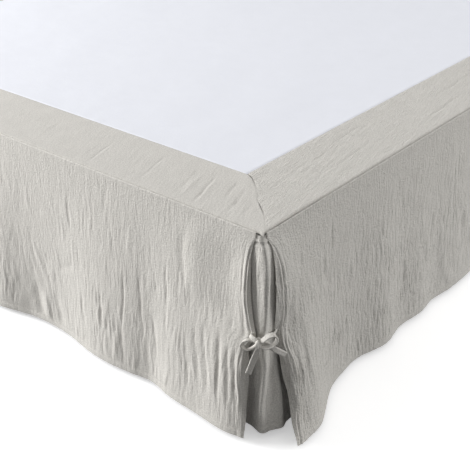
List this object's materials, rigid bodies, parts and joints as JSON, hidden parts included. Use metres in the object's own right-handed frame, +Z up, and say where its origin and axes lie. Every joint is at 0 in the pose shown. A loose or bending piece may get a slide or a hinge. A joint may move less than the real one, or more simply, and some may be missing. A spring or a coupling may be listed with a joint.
{
  "type": "split-corner bed skirt on a plain bed base",
  "caption": "Crinkled cotton bed skirt with mitred border, three hanging panels and split foot corners tied with bows, on a plain bed base with round legs.",
  "frame": {"origin": "on the floor under the middle of the base, at the sole of the middle leg", "axes": "+Z up, +Y towards the open head end, +X towards the side with the drop_right panel; the foot end is at -Y"},
  "size_m": [1.54, 1.9319, 0.36],
  "materials": {
    "face_cloth": "crinkled cotton gauze, matt",
    "deck_cloth": "plain white cotton, matt",
    "tie_cloth": "folded cotton gauze, matt",
    "base_cover": "plain woven cover, matt",
    "leg_wood": "turned wood, satin"
  },
  "bodies": {
    "root": {"band_foot": "face_cloth", "band_left": "face_cloth", "band_right": "face_cloth", "drop_foot": "face_cloth", "drop_left": "face_cloth", "drop_right": "face_cloth", "gusset_left": "face_cloth", "gusset_right": "face_cloth", "deck": "deck_cloth", "tie_foot_left": "tie_cloth", "tie_foot_right": "tie_cloth", "tie_side_left": "tie_cloth", "tie_side_right": "tie_cloth", "bed_base": "base_cover", "leg_centre": "leg_wood", "leg_foot_left": "leg_wood", "leg_foot_right": "leg_wood", "leg_middle_left": "leg_wood", "leg_middle_right": "leg_wood", "leg_head_left": "leg_wood", "leg_head_right": "leg_wood"}
  },
  "joints": []
}
